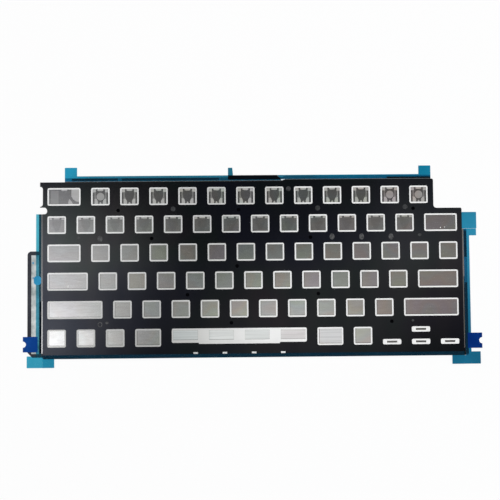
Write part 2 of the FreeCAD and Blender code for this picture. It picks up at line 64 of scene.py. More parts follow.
# Key windows in millimetres, as the part has them, with the width of each key in key pitches
KEY_PITCH = (19.0, 18.5)
GRID_CORNER = (-137.75, 55.5)
WINDOW_INSET = 4.4
ROWS = (
    (1.5,) + (1.0,) * 12,
    (1.0,) * 13 + (1.5,),
    (1.5,) + (1.0,) * 13,
    (1.75,) + (1.0,) * 11 + (1.75,),
    (2.25,) + (1.0,) * 10 + (2.25,),
    (1.0, 1.0, 1.0, 1.25, 5.0, 1.25, 1.0),
)
FUNCTION_ROW = 0
NUMBER_ROW = 1
HUE_ROWS = (2, 3, 4)
# Rows whose windows get a painted shadow line
SHADOW_LINE_ROWS = (3, 4, 5)
BOTTOM_ROW = 5

# Keys by their number in the row
DISC_KEYS = (1, 11, 12)
FIRST_HUE_KEY = 2
HUE_STEP = 3
SPACE_KEY = 4
COMMAND_KEY = 5
OPTION_KEY = 6

# Prints in the windows, and painted shadow lines along their edges, in millimetres
DISC_RADIUS = 2.55
# Painted shadow lines in the lower windows: their width and their gap from the window's edge
SHADOW_LINE_WIDTH = 0.35
SHADOW_LINE_GAP = 0.12
PANE_INSET = 0.1
PANE_LOW = -47.95
PANE_HIGH = -41.65
PANE_COUNT = 4
PANE_BAR = 7.3
# Height of the painted shadow line at each pane's foot
PANE_SHADE_LINE = 0.3
ARROW_PRINT = (6.6, 1.1)

# Arrow slots as (key pitches from the grid's left side, y)
LOWER_ARROWS = -50.3
UPPER_ARROW = -42.2
ARROW_SLOTS = ((12.0, LOWER_ARROWS), (13.0, LOWER_ARROWS), (14.0, LOWER_ARROWS), (13.0, UPPER_ARROW))

# Lips of the light guide that stand past the mask, in millimetres
GUIDE_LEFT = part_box("light_guide")[0].x / MM
GUIDE_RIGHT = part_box("light_guide")[1].x / MM
RIM_INSET = 0.02
LEFT_LIP_INNER = -137.35
LEFT_LIP_HEAD = 34.6
LEFT_LIP_STEP = -22.0
LEFT_LIP_FOOT = -55.8
DULL_LIP_LEFT = -138.25
# Left side of the painted highlight on the lower part of the left lip
HIGHLIGHT_LIP_LEFT = -138.0
RIGHT_LIP_INNER = 137.97
RIGHT_LIP_HEAD = -8.0
RIGHT_LIP_FOOT = -54.55
LIP_END = (137.55, -59.3, 138.4, -54.6)

# Pale specks in two windows as (x, y, radius)
SPECKS = ((123.44, 24.18, 0.34), (126.09, 24.49, 0.26), (-120.92, -12.55, 0.6))
SPECK_SIDES = 10

# Relief holes: places by row, in key pitches, and rings of the dark cup of painted shade as (share of the
# radius, height)
RELIEF_HOLES = {1: (2.61, 6.76, 12.80), 2: (3.76, 9.23), 3: (6.69,), 4: (4.98, 9.48), 5: (6.48, 12.00)}
HOLE_RADIUS = 1.19
CUP_BORE = 0.97
CUP_DROP = 0.004
CUP_FOOT = node_top("back_film") + PRINT_GAP
CUP_FLOOR = CUP_FOOT + SMEAR_THICKNESS
CUP_RIM = MASK_TOP - CUP_DROP
CUP_RINGS = ((1.0, CUP_FOOT), (1.0, CUP_RIM), (CUP_BORE, CUP_RIM), (CUP_BORE, CUP_FLOOR))

# Marks on the mask as (x, y, half width, half height), with profiles as (share of the size, rise)
ROUND_MARKS = ((-52.29, 37.73, 1.6, 1.6), (23.54, 50.55, 1.6, 1.6), (42.60, 37.67, 1.65, 1.65),
               (100.20, 38.09, 1.7, 1.6))
OVAL_MARKS = ((-100.03, 18.61, 1.6, 2.0), (51.82, 18.82, 1.6, 2.0), (71.28, 18.67, 1.6, 2.0),
              (90.63, 18.51, 1.6, 2.0), (-95.61, -36.31, 0.95, 0.85))
SMALL_MARKS = ((-114.23, 19.19, 0.8, 0.8), (109.56, 19.54, 1.2, 0.9), (104.12, -36.53, 0.9, 0.7))
LOOP_MARKS = ((-100.09, -37.43, 1.5, 1.8),)
DOME_PROFILE = ((1.0, 0.0), (0.96, 0.022), (0.72, 0.03), (0.45, 0.022), (0.2, 0.018))
LOOP_PROFILE = ((1.0, 0.0), (0.94, 0.02), (0.70, 0.02), (0.64, 0.0))

# Outlines of the tape edge at the top right and of the residue on the white strip, in millimetres
TAPE_EDGE = [(88.5, 57.2), (117.0, 57.1), (117.0, 58.08), (88.5, 58.14)]
UPPER_RESIDUE = [(-144.0, 2.5), (-143.4, 2.3), (-143.1, 2.9), (-143.2, 3.6), (-143.7, 3.9), (-144.1, 3.4)]
LOWER_RESIDUE = [(-143.9, -7.0), (-143.4, -7.2), (-143.2, -6.6), (-143.5, -6.1), (-143.9, -6.3)]

# Studio in metres: the camera's place and turn are those of the photograph
FLOOR_HALF = 20.0
FLOOR_DROP = 0.03 * MM
CAMERA_TURN = Vector((-0.054735, 0.017928, 0.008817))
CAMERA_OFFSET = Vector((2.174, 10.369, 654.175)) * MM
LENS_MM = 72.0
SENSOR_MM = 36.0
CLIP_START = 0.01
LAMP_SIZE = 3.0
LAMPS = {"side_left": ((-2.0, 0.6, 2.4), 36.0), "side_right": ((2.0, 0.6, 2.4), 70.0)}

# Soft boxes in the sky as (place on the panel where the camera sees it mirrored, reach, strength)
SOFT_BOXES = (
    ((-0.160, -0.018), (0.140, 0.088), 1.16),
    ((-0.152, -0.055), (0.088, 0.038), 2.1),
    ((0.018, -0.062), (0.105, 0.086), 1.0),
    ((0.105, -0.010), (0.110, 0.072), 0.24),
)
LOWEST_SLOPE = 0.05


def grey(level):
    return (level, level, level)


# Runs over the part in metres, as (direction, start, end), and colours along them from 0 to 1
PANEL_RUN = ((1, 0, 0), -0.138, 0.138)
WARMTH = [(0.0, (0.98, 0.965, 1.0)), (0.33, (0.985, 1.0, 0.94)), (0.6, (0.98, 1.0, 0.95)),
          (0.85, (1.0, 0.94, 0.90)), (1.0, (1.0, 0.93, 0.91))]
# Painted sheen of the black mask across the panel: strong at the left and right, weak in the middle
PAINTED_SHEEN_ACROSS = [(0.0, grey(1.5)), (0.22, grey(1.15)), (0.36, (0.72, 0.72, 0.74)),
                (0.62, (0.76, 0.76, 0.78)), (0.74, grey(1)), (0.86, (1.7, 1.66, 1.66))]
# Painted sheen of the black mask up the panel: weak at the bottom, strong at the top
PAINTED_SHEEN_RUN = ((0, 1, 0), -0.058, 0.056)
PAINTED_SHEEN_UPWARD = [(0.0, (0.32, 0.32, 0.34)), (0.35, (0.54, 0.54, 0.56)), (0.6, (1.0, 1.0, 1.02)),
                (0.8, grey(1.2))]
# Painted shade in the lower left corner of the white frames
CORNER_SHADE_RUN = ((0.3, 0.95, 0), -0.065, -0.035)
CORNER_SHADE_SHARES = [(0.0, (0.78, 0.78, 0.77)), (1.0, grey(1))]
# Painted shade in a slanted band across the white frames, left of the middle
SHADE_BAND_RUN = ((1, -0.49, 0), -0.13, 0.03)
SHADE_BAND_SHARES = [(0.0, grey(0.97)), (0.28, grey(0.75)), (0.52, grey(0.64)),
               (0.70, (0.73, 0.73, 0.72)), (0.90, grey(0.95)), (1.0, grey(1))]
PANE_RUN = ((1, 0, 0), -0.053, 0.058)
PANE_TINTS = [(0.0, (0.44, 0.47, 0.465)), (0.18, (0.535, 0.56, 0.55)), (0.24, (0.67, 0.685, 0.67)),
              (0.55, (0.69, 0.71, 0.695)), (0.66, (0.67, 0.645, 0.64)), (0.78, (0.67, 0.645, 0.64)),
              (0.90, grey(0.615))]
LINER_RUN = ((1, -0.5, 0), -0.15, 0.18)
LINER_TINTS = [(0.0, (0.16, 0.62, 0.77)), (0.05, (0.17, 0.50, 0.61)), (0.20, (0.17, 0.45, 0.54)),
               (0.44, (0.15, 0.46, 0.56)), (0.55, (0.10, 0.55, 0.69)), (0.70, (0.08, 0.52, 0.67)),
               (0.87, (0.20, 0.59, 0.74)), (0.94, (0.11, 0.42, 0.56))]
LOWER_TINTS = [(0.0, (0.18, 0.60, 0.74)), (0.70, (0.08, 0.52, 0.66)), (0.94, (0.10, 0.42, 0.56))]
PALE_RUN = ((0, 1, 0), -0.066, 0.014)
PALE_TINTS = [(0.10, (0.22, 0.67, 0.80)), (0.15, (0.60, 0.92, 0.99)), (0.88, (0.60, 0.92, 0.99)),
              (0.95, (0.34, 0.78, 0.87))]

# Colours by the height of the sky, and by the level of a noise
SKY_STOPS = [(0.0, (0.93, 0.93, 0.94)), (0.12, (0.72, 0.73, 0.74)), (0.60, (0.60, 0.61, 0.62)),
             (0.88, (0.075, 0.078, 0.086)), (1.0, (0.050, 0.052, 0.060))]
MASK_TINTS = [(0.30, (0.0008, 0.0014, 0.0050)), (0.45, (0.0016, 0.0018, 0.0036)),
              (0.56, (0.0012, 0.0026, 0.0026)), (0.70, (0.0032, 0.0020, 0.0034))]
MASK_SHEEN = [(0.34, (0.80, 0.84, 1.0)), (0.46, (0.92, 0.94, 1.0)),
              (0.54, (0.90, 1.0, 0.94)), (0.66, (1.0, 0.92, 0.93))]
SILVER_TINTS = [(0.36, (0.96, 1.0, 0.93)), (0.46, (0.95, 0.98, 1.0)),
                (0.54, (1.0, 0.94, 0.92)), (0.64, (0.98, 0.94, 1.0))]

# Other colours
FRAME_DARK = (0.83, 0.83, 0.82)
FRAME_LIGHT = (0.90, 0.90, 0.89)
MASK_STREAK_SHADE = (0.86, 0.88, 0.92)
SILVER_DARK = (0.52, 0.52, 0.51)
SILVER_LIGHT = (0.56, 0.57, 0.56)
WINDOW_HUES = {"blue": (0.955, 0.97, 1.0), "olive": (0.99, 1.0, 0.93), "lilac": (1.0, 0.945, 0.975),
               "grey": grey(0.98), "brown": (1.0, 0.945, 0.90)}
PANE_STREAK_SHADE = grey(0.90)
LINER_MOTTLE = grey(0.92)
LINER_HAZE = (0.02, 0.10, 0.17)
PALE_HAZE = (0.04, 0.16, 0.22)
SHADOW_CLEAR = (0.75, 0.90, 0.94)
FLOOR_COLOUR = (0.88, 0.88, 0.88, 1)

# Plain films as (dark colour, light colour, range of roughness, scale of the noise, specular level)
FILMS = {
    "back_black": ((0.006, 0.006, 0.007), (0.011, 0.011, 0.012), (0.38, 0.5), 25, 0.5),
    "reflector_white": ((0.68, 0.70, 0.71), (0.80, 0.81, 0.82), (0.34, 0.42), 45, 0.5),
    "flex_black": ((0.016, 0.017, 0.024), (0.036, 0.037, 0.048), (0.42, 0.55), 60, 0.5),
    "led_white": ((0.75, 0.72, 0.5), (0.85, 0.8, 0.55), (0.3, 0.4), 300, 0.5),
    "strip_white": ((0.27, 0.31, 0.31), (0.66, 0.68, 0.67), (0.5, 0.65), 160, 0.5),
    "tape_black": ((0.0010, 0.0020, 0.0036), (0.0020, 0.0036, 0.0060), (0.42, 0.5), 80, 0.05),
    "pull_tab_blue": ((0.002, 0.034, 0.19), (0.006, 0.056, 0.26), (0.34, 0.42), 90, 0.04),
    "pull_tab_deep": ((0.0001, 0.017, 0.13), (0.001, 0.029, 0.18), (0.34, 0.42), 90, 0.04),
    "patch_blue": ((0.012, 0.22, 0.42), (0.018, 0.28, 0.50), (0.3, 0.42), 200, 0.5),
    # Painted shade inside the relief holes
    "hole_painted_shade": ((0.0016, 0.0016, 0.0024), (0.0030, 0.0030, 0.0040), (0.6, 0.7), 200, 0.0),
    "mark_dark": ((0.014, 0.015, 0.016), (0.05, 0.052, 0.055), (0.45, 0.6), 900, 0.3),
    "mark_grey": ((0.03, 0.031, 0.032), (0.11, 0.11, 0.112), (0.45, 0.6), 900, 0.3),
    "mark_faint": ((0.03, 0.031, 0.032), (0.07, 0.072, 0.074), (0.45, 0.6), 900, 0.3),
}

# Brightness and metallic share of the light guide and its hues, and of each other print, of the painted
# shadow lines and of the painted highlight on the left lip
PLATE_SILVER = (1.0, 0.86)
PRINT_SILVERS = {
    "print_dark": (0.74, 0.86),
    "print_escape": (0.98, 0.84),
    "print_pale": (0.92, 0.22),
    "print_mid": (1.0, 0.70),
    "disc_pale": (1.0, 0.50),
    "print_soft": (1.1, 0.42),
    "print_faint": (0.82, 0.86),
    "print_trace": (0.87, 0.86),
    # Painted shadow lines along the lower windows
    "shadow_line_grey": (0.56, 0.80),
    "slot_dark": (0.58, 0.86),
    "option_pale": (0.95, 0.55),
    "lip_grey": (0.36, 0.70),
    # Painted highlight on the lower part of the left lip
    "lip_painted_highlight": (0.9, 0.25),
}

# Shares in the materials
TINT_SHARES = (0.25, 1.0)
TINT_SPAN = (0.15, 0.45)
# Brightness of the painted shadow line at each pane's foot
FOOT_SHADE_STRENGTH = 0.55
HAZE_LIFT = 1.25
LINER_SHARE = 0.14
PALE_SHARE = 0.16
FLOOR_SHARE = 0.85
MASK_SPECULAR = 0.90
FLOOR_SPECULAR = 0.1

# Ranges of roughness
FRAME_ROUGH = (0.5, 0.6)
MASK_ROUGH = (0.10, 0.12)
SILVER_ROUGH = (0.085, 0.105)
SATIN_ROUGH = (0.24, 0.32)
FLOOR_ROUGH = 0.9

# Noises: scales per metre, stretches of streaks, and the levels that a colour or number is spread over
FINE_SCALE = 900
FRAME_SCALE = 45
MASK_HUE_SCALE = 16
MASK_GLOSS_SCALE = 11
GRAIN_SCALE = 300
DRIFT_SCALE = 50
DRIFT_OFFSET = (0.31, 0.17, 0)
LINER_SCALE = 70
MASK_STREAKS = (90, 7, 1)
SILVER_STREAKS = (140, 700, 1)
PANE_STREAKS = (25, 1100, 1)
NOISE_SPAN = (0.3, 0.7)
FILM_SPAN = (0.32, 0.68)
STREAK_SPAN = (0.35, 0.65)

# Sockets of the Mix node that carry colours
FIRST_COLOUR = 6
SECOND_COLOUR = 7
MIXED_COLOUR = 2


# Nodes of a material or of the sky

class Paint:
    """Adds nodes to one node tree."""

    def __init__(self, tree):
        self.tree = tree

    def feed(self, node, inputs):
        """Gives a node's inputs, by name or number, another node's result or a constant."""
        for key, value in inputs.items():
            if isinstance(value, bpy.types.NodeSocket):
                self.tree.links.new(value, node.inputs[key])
            else:
                node.inputs[key].default_value = value

    def node(self, kind, inputs, **settings):
        node = self.tree.nodes.new("ShaderNode" + kind)
        for name, value in settings.items():
            setattr(node, name, value)
        self.feed(node, inputs)
        return node

    def place(self):
        """The place on the part in metres."""
        return self.node("TexCoord", {}).outputs["Object"]

    def noise(self, scale, detail, roughness=0.5, stretch=(1, 1, 1), offset=(0, 0, 0)):
        mapping = self.node("Mapping", {"Vector": self.place(), "Scale": stretch, "Location": offset})
        texture = self.node("TexNoise", {
            "Vector": mapping.outputs["Vector"], "Scale": scale, "Detail": detail, "Roughness": roughness})
        return texture.outputs["Fac"]

    def spread(self, value, low, high, span=NOISE_SPAN):
        """A value moved from a span to low..high."""
        node = self.node("MapRange", {
            "Value": value, "From Min": span[0], "From Max": span[1], "To Min": low, "To Max": high})
        return node.outputs["Result"]

    def along(self, direction, start, end):
        """0 to 1 along a direction on the part, between two distances from its origin in metres."""
        distance = self.node("VectorMath", {0: self.place(), 1: direction}, operation="DOT_PRODUCT")
        return self.spread(distance.outputs["Value"], 0.0, 1.0, (start, end))

    def ramp(self, value, stops):
        """A colour by a value: stops are (position, colour)."""
        node = self.node("ValToRGB", {"Fac": value})
        elements = node.color_ramp.elements
        while len(elements) < len(stops):
            elements.new(0.5)
        for element, (position, colour) in zip(elements, stops):
            element.position = position
            element.color = (*colour, 1)
        return node.outputs["Color"]

    def shade(self, value, dark, light, span=NOISE_SPAN):
        """From a dark to a light colour as a value goes over a span."""
        return self.ramp(value, [(span[0], dark), (span[1], light)])

    def mix(self, first, second, kind="MULTIPLY", factor=1.0):
        inputs = {"Factor": factor, FIRST_COLOUR: first, SECOND_COLOUR: second}
        return self.node("Mix", inputs, data_type="RGBA", blend_type=kind).outputs[MIXED_COLOUR]

    def show(self, first, second, share):
        """Shows a mix of two shaders, with this share of the second."""
        blend = self.node("MixShader", {"Fac": share, 1: first, 2: second})
        self.feed(self.tree.nodes["Material Output"], {"Surface": blend.outputs["Shader"]})


def new_material(name):
    """A node material with one Principled shader: the material, its paint and the shader."""
    material = bpy.data.materials.new(name)
    material.use_nodes = True
    return material, Paint(material.node_tree), material.node_tree.nodes["Principled BSDF"]


def scaled(colour, factor, hue=(1, 1, 1)):
    return tuple(factor * level * share for level, share in zip(colour, hue))


# Film materials

def plain_film(name):
    """A film whose colour and roughness vary a little from place to place."""
    dark, light, rough, scale, specular = FILMS[name]
    material, paint, shader = new_material(name)
    broad = paint.noise(scale, detail=3, roughness=0.55)
    fine = paint.noise(FINE_SCALE, detail=1)
    paint.feed(shader, {
        "Base Color": paint.shade(broad, dark, light, FILM_SPAN),
        "Roughness": paint.spread(fine, *rough),
        "Specular IOR Level": specular,
    })
    return material


def frame_material():
    """White film with painted shade: a darker slanted band left of the middle and a darker lower left
    corner.
    """
    material, paint, shader = new_material("frame_white")
    broad = paint.noise(FRAME_SCALE, detail=3, roughness=0.55)
    fine = paint.noise(FINE_SCALE, detail=1)
    white = paint.shade(broad, FRAME_DARK, FRAME_LIGHT, FILM_SPAN)
    # Painted shade: a slanted band and the lower left corner
    painted_shade_band = paint.ramp(paint.along(*SHADE_BAND_RUN), SHADE_BAND_SHARES)
    painted_corner_shade = paint.ramp(paint.along(*CORNER_SHADE_RUN), CORNER_SHADE_SHARES)
    paint.feed(shader, {
        "Base Color": paint.mix(white, paint.mix(painted_shade_band, painted_corner_shade)),
        "Roughness": paint.spread(fine, *FRAME_ROUGH),
    })
    return material


def mask_material():
    """Satin black film with faint coloured tints; its sheen is painted by place, a painted reflection
    weaker towards the bottom and in the middle of the panel.
    """
    material, paint, shader = new_material("mask_black")
    hue = paint.noise(MASK_HUE_SCALE, detail=2)
    gloss = paint.noise(MASK_GLOSS_SCALE, detail=1)
    fine = paint.noise(FINE_SCALE, detail=1)
    lines = paint.noise(1, detail=1, stretch=MASK_STREAKS)
    streaks = paint.shade(lines, MASK_STREAK_SHADE, grey(1), STREAK_SPAN)
    # Painted sheen: the strength of the reflection is set by place up and across the panel
    upward = paint.ramp(paint.along(*PAINTED_SHEEN_RUN), PAINTED_SHEEN_UPWARD)
    across = paint.ramp(paint.along(*PANEL_RUN), PAINTED_SHEEN_ACROSS)
    sheen = paint.mix(paint.ramp(gloss, MASK_SHEEN), streaks)
    paint.feed(shader, {
        "Base Color": paint.ramp(hue, MASK_TINTS),
        "Specular Tint": paint.mix(sheen, paint.mix(upward, across)),
        "Roughness": paint.spread(fine, *MASK_ROUGH),
        "Specular IOR Level": MASK_SPECULAR,
    })
    return material


def silver_material(name, hue=(1, 1, 1)):
    """Clear plate over a mirror film, or a print on it: streaked silver with weak tints that drift."""
    strength, metallic = PRINT_SILVERS.get(name, PLATE_SILVER)
    material, paint, shader = new_material(name)
    streaks = paint.noise(1, detail=1, stretch=SILVER_STREAKS)
    grain = paint.noise(GRAIN_SCALE, detail=0)
    drift = paint.noise(DRIFT_SCALE, detail=1, roughness=0.4, offset=DRIFT_OFFSET)
    across = paint.along(*PANEL_RUN)
    share = paint.spread(across, *TINT_SHARES, TINT_SPAN)
    silver = paint.shade(streaks, scaled(SILVER_DARK, strength, hue), scaled(SILVER_LIGHT, strength, hue))
    tinted = paint.mix(silver, paint.ramp(drift, SILVER_TINTS), factor=share)
    paint.feed(shader, {
        "Base Color": paint.mix(tinted, paint.ramp(across, WARMTH)),
        "Metallic": metallic,
        "Roughness": paint.spread(grain, *SILVER_ROUGH),
    })
    return material


def pane_material(name, strength=1.0):
    """Pale print with fine level streaks: darker at its left end, warmer further right."""
    material, paint, shader = new_material(name)
    streaks = paint.noise(1, detail=1, stretch=PANE_STREAKS)
    tints = [(position, scaled(tint, strength)) for position, tint in PANE_TINTS]
    colour = paint.ramp(paint.along(*PANE_RUN), tints)
    paint.feed(shader, {
        "Base Color": paint.mix(colour, paint.shade(streaks, PANE_STREAK_SHADE, grey(1), STREAK_SPAN)),
        "Roughness": paint.spread(streaks, *SATIN_ROUGH),
    })
    return material


def liner_material(name, tints, run, haze, share):
    """Translucent blue film: light that goes through, tinted along a run, and a little haze of its own."""
    material, paint, shader = new_material(name)
    broad = paint.noise(LINER_SCALE, detail=2)
    fine = paint.noise(FINE_SCALE, detail=1)
    tint = paint.mix(paint.ramp(paint.along(*run), tints), paint.shade(broad, LINER_MOTTLE, grey(1)))
    shadow = paint.node("LightPath", {}).outputs["Is Shadow Ray"]
    passing = paint.shade(shadow, grey(0), SHADOW_CLEAR, (0.0, 1.0))
    through = paint.node("BsdfTransparent", {"Color": paint.mix(tint, passing, "LIGHTEN")})
    paint.feed(shader, {
        "Base Color": paint.shade(broad, haze, scaled(haze, HAZE_LIFT)),
        "Roughness": paint.spread(fine, *SATIN_ROUGH),
    })
    paint.show(through.outputs["BSDF"], shader.outputs["BSDF"], share)
    return material


def floor_material():
    """Plain white floor that keeps the object's shadow."""
    material, paint, shader = new_material("floor_white")
    paint.feed(shader, {
        "Base Color": FLOOR_COLOUR,
        "Roughness": FLOOR_ROUGH,
        "Specular IOR Level": FLOOR_SPECULAR,
    })
    path = paint.node("LightPath", {})
    seen = path.outputs["Is Camera Ray"]
    for other in ("Is Glossy Ray", "Is Transmission Ray"):
        either = paint.node("Math", {0: seen, 1: path.outputs[other]}, operation="MAXIMUM")
        seen = either.outputs["Value"]
    share = paint.node("Math", {0: seen, 1: FLOOR_SHARE}, operation="MULTIPLY")
    white = paint.node("Emission", {})
    paint.show(shader.outputs["BSDF"], white.outputs["Emission"], share.outputs["Value"])
    return material


# Finishes by node

TAPE = plain_film("tape_black")
PATCH = plain_film("patch_blue")
LINER = liner_material("liner_blue", LINER_TINTS, LINER_RUN, LINER_HAZE, LINER_SHARE)
LOWER_LINER = liner_material("liner_lower", LOWER_TINTS, LINER_RUN, LINER_HAZE, LINER_SHARE)
PALE_LINER = liner_material("liner_pale", PALE_TINTS, PALE_RUN, PALE_HAZE, PALE_SHARE)
LINERS = (LINER, LOWER_LINER, PALE_LINER)
FINISHES = {
    "mask_film": mask_material(),
    "window_frame_film": frame_material(),
    "light_guide": silver_material("guide_silver"),
    "back_film": plain_film("back_black"),
    "reflector_film": plain_film("reflector_white"),
    "led_flex": plain_film("flex_black"),
    "side_leds": plain_film("led_white"),
    "flex_cover_strip": plain_film("strip_white"),
    "left_pull_tab": plain_film("pull_tab_blue"),
    "right_pull_tab": plain_film("pull_tab_deep"),
    "left_hold_patch": PATCH,
    "left_liner": PALE_LINER,
    "bottom_liner": LOWER_LINER,
}
for name in NODES:
    if "_tape" in name:
        FINISHES[name] = TAPE
    elif name.endswith("_liner"):
        FINISHES.setdefault(name, LINER)


def dress(piece, material):
    piece.data.materials.clear()
    piece.data.materials.append(material)


for name, node in NODES.items():
    dress(node, FINISHES[name])


# Pieces

def add_piece(name, mesh, material):
    """A piece of the looks, fixed to the part."""
    piece = bpy.data.objects.new(name, mesh)
    scene.collection.objects.link(piece)
    dress(piece, material)
    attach(piece, "root")
    return piece


def lift_liners():
    """The same films, lifted a hair off what they lie on so that light passes through to it."""
    for name, node in NODES.items():
        if FINISHES[name] not in LINERS:
            continue
        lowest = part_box(name)[0].z + LINER_LIFT * MM
        film_mesh = node.data.copy()
        for vertex in film_mesh.vertices:
            vertex.co.z = max(vertex.co.z, lowest)
        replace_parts(add_piece(name + "_film", film_mesh, FINISHES[name]), name)


def closed_mesh(name, vertices, faces):
    """A mesh from vertices in millimetres."""
    mesh = bpy.data.meshes.new(name)
    mesh.from_pydata([(x * MM, y * MM, z * MM) for x, y, z in vertices], [], faces)
    return mesh


def layer(base, thickness=PRINT_THICKNESS):
    """Lower and upper height of a thin shape that lies a hair above a base, in millimetres."""
    return base + PRINT_GAP, base + PRINT_GAP + thickness


PRINT = layer(GUIDE_TOP)
SECOND_PRINT = layer(PRINT[1])


def thin_shapes(name, outlines, heights, material):
    """One piece of flat closed shapes, each an outline in millimetres, between two heights."""
    vertices = []
    faces = []
    for outline in outlines:
        area = sum(a[0] * b[1] - b[0] * a[1] for a, b in zip(outline, outline[1:] + outline[:1]))
        points = outline if area > 0 else outline[::-1]
        first = len(vertices)
        count = len(points)
        for height in heights:
            vertices += [(x, y, height) for x, y in points]
        faces.append([first + i for i in reversed(range(count))])
        faces.append([first + count + i for i in range(count)])
        for i in range(count):
            j = (i + 1) % count
            faces.append([first + i, first + j, first + count + j, first + count + i])
    add_piece(name, closed_mesh(name, vertices, faces), material)


def guide_print(name, outlines, material, heights=PRINT):
    """A print on the light guide; the painted shadow lines and the painted highlight on the left lip are
    laid on it the same way.
    """
    thin_shapes(name, outlines, heights, material)


def turned(name, places, rings, material, looped=False):
    """Closed round shapes on the mask by rings of (share of the size, height).

    They are capped at both ends, or looped back to the first ring.
    """
    vertices = []
    faces = []
    for x, y, half_width, half_height in places:
        first = len(vertices)
        for share, height in rings:
            outline = ellipse(x, y, share * half_width, share * half_height)
            vertices += [(a, b, height) for a, b in outline]
        sides = (len(vertices) - first) // len(rings)
        if not looped:
            faces.append([first + i for i in reversed(range(sides))])
            faces.append([len(vertices) - sides + i for i in range(sides)])
        for ring in range(len(rings) - (not looped)):
            here = first + ring * sides
            there = first + (ring + 1) % len(rings) * sides
            for i in range(sides):
                j = (i + 1) % sides
                faces.append([here + i, here + j, there + j, there + i])
    add_piece(name, closed_mesh(name, vertices, faces), material)


# Outlines

def rectangle(left, bottom, right, top):
    return [(left, bottom), (right, bottom), (right, top), (left, top)]


def ellipse(x, y, half_width, half_height, sides=28):
    turns = [2 * math.pi * i / sides for i in range(sides)]
    return [(x + half_width * math.cos(a), y + half_height * math.sin(a)) for a in turns]


def mirrored(outline):
    """An outline in shares of a box, turned left to right."""
    return [(1 - u, v) for u, v in outline]


def in_boxes(boxes, outlines):
    """Outlines in shares of a box's width and height, placed in each box."""
    placed = []
    for left, bottom, right, top in boxes:
        for outline in outlines:
            placed.append([(left + u * (right - left), bottom + v * (top - bottom)) for u, v in outline])
    return placed


def grid_place(units, row):
    """A place on the key grid: key pitches from its left side, and rows from its top."""
    return GRID_CORNER[0] + units * KEY_PITCH[0], GRID_CORNER[1] - row * KEY_PITCH[1]


def clear_boxes(row):
    """The clear part of each key window of a row: left, bottom, right, top."""
    boxes = []
    start = 0.0
    for width in ROWS[row]:
        left, top = grid_place(start, row)
        boxes.append((left + WINDOW_INSET, top - KEY_PITCH[1] + WINDOW_INSET,
                      left + width * KEY_PITCH[0] - WINDOW_INSET, top - WINDOW_INSET))
        start += width
    return boxes


def pane_in(box):
    """A window's clear part without its painted shadow line."""
    left, bottom, right, top = box
    inset = SHADOW_LINE_GAP + SHADOW_LINE_WIDTH
    return rectangle(left + inset, bottom + inset, right - PANE_INSET, top - PANE_INSET)


# Prints of the function row, in shares of a window

SHIELD_HALF = [
    (0.5, 0.86), (0.40, 0.86), (0.305, 0.89), (0.305, 1.0), (0.215, 1.0), (0.215, 0.80), (0.195, 0.66),
    (0.215, 0.48), (0.27, 0.34), (0.33, 0.22), (0.355, 0.13), (0.34, 0.0), (0.425, 0.0), (0.44, 0.10),
    (0.5, 0.14)]
SHIELD = SHIELD_HALF + mirrored(SHIELD_HALF[1:-1])[::-1]
SIDE_STRIPE = rectangle(0.0, 0.0, 0.11, 0.77)
SIDE_BAND = [
    (0.12, 0.37), (0.15, 0.365), (0.262, 0.345), (0.207, 0.48), (0.187, 0.66), (0.205, 0.78), (0.12, 0.78)]
CORNER_BLOCK = rectangle(0.015, 0.79, 0.205, 0.985)
LOWER_BLOCK = [
    (0.125, 0.0), (0.33, 0.0), (0.345, 0.13), (0.32, 0.22), (0.262, 0.33), (0.15, 0.355), (0.125, 0.36)]
TOP_BLOCK = [(0.315, 0.90), (0.41, 0.875), (0.59, 0.875), (0.685, 0.90), (0.685, 1.0), (0.315, 1.0)]
FOOT_NOTCH = [(0.435, 0.0), (0.565, 0.0), (0.55, 0.09), (0.5, 0.125), (0.45, 0.09)]
SHIELDS = [SHIELD, SIDE_STRIPE, mirrored(SIDE_STRIPE)]
SIDE_BANDS = [SIDE_BAND, mirrored(SIDE_BAND)]
PALE_BLOCKS = [
    CORNER_BLOCK, mirrored(CORNER_BLOCK), LOWER_BLOCK, mirrored(LOWER_BLOCK), TOP_BLOCK, FOOT_NOTCH]

# The first window of the row has its own print
ESCAPE_SHIELD = [
    (0.345, 0.86), (0.345, 1.0), (0.405, 1.0), (0.405, 0.88), (0.61, 0.88), (0.61, 1.0), (0.73, 1.0),
    (0.73, 0.52), (0.79, 0.30), (0.88, 0.17), (1.0, 0.11), (1.0, 0.04), (0.86, 0.08), (0.76, 0.20),
    (0.70, 0.38), (0.65, 0.36), (0.62, 0.22), (0.62, 0.0), (0.43, 0.0), (0.42, 0.15), (0.36, 0.30),
    (0.33, 0.45)]
ESCAPE_PALE = [
    [(0.745, 1.0), (0.745, 0.53), (0.80, 0.33), (0.89, 0.20), (1.0, 0.14), (1.0, 1.0)],
    [(0.635, 0.0), (0.80, 0.0), (0.75, 0.17), (0.69, 0.34), (0.65, 0.27)],
    rectangle(0.415, 0.90, 0.60, 1.0)]
ESCAPE_PANEL = rectangle(0.07, 0.04, 0.32, 0.92)

# Prints of the number row, much fainter
FAINT_BAR = rectangle(0.21, 0.83, 0.30, 1.0)
FAINT_BARS = [FAINT_BAR, rectangle(0.04, 0.79, 0.96, 0.825), mirrored(FAINT_BAR)]
FAINT_BLOCK = rectangle(0.02, 0.85, 0.19, 0.98)
FAINT_BLOCKS = [FAINT_BLOCK, rectangle(0.32, 0.90, 0.68, 1.0), mirrored(FAINT_BLOCK)]
TRACE_HALF = [(0.2, 0.765), (0.21, 0.5), (0.28, 0.34), (0.35, 0.2), (0.4, 0.06)]
TRACE = TRACE_HALF + mirrored(TRACE_HALF)[::-1]


# Prints on the light guide, and painted shadow lines and a painted highlight laid on it like prints

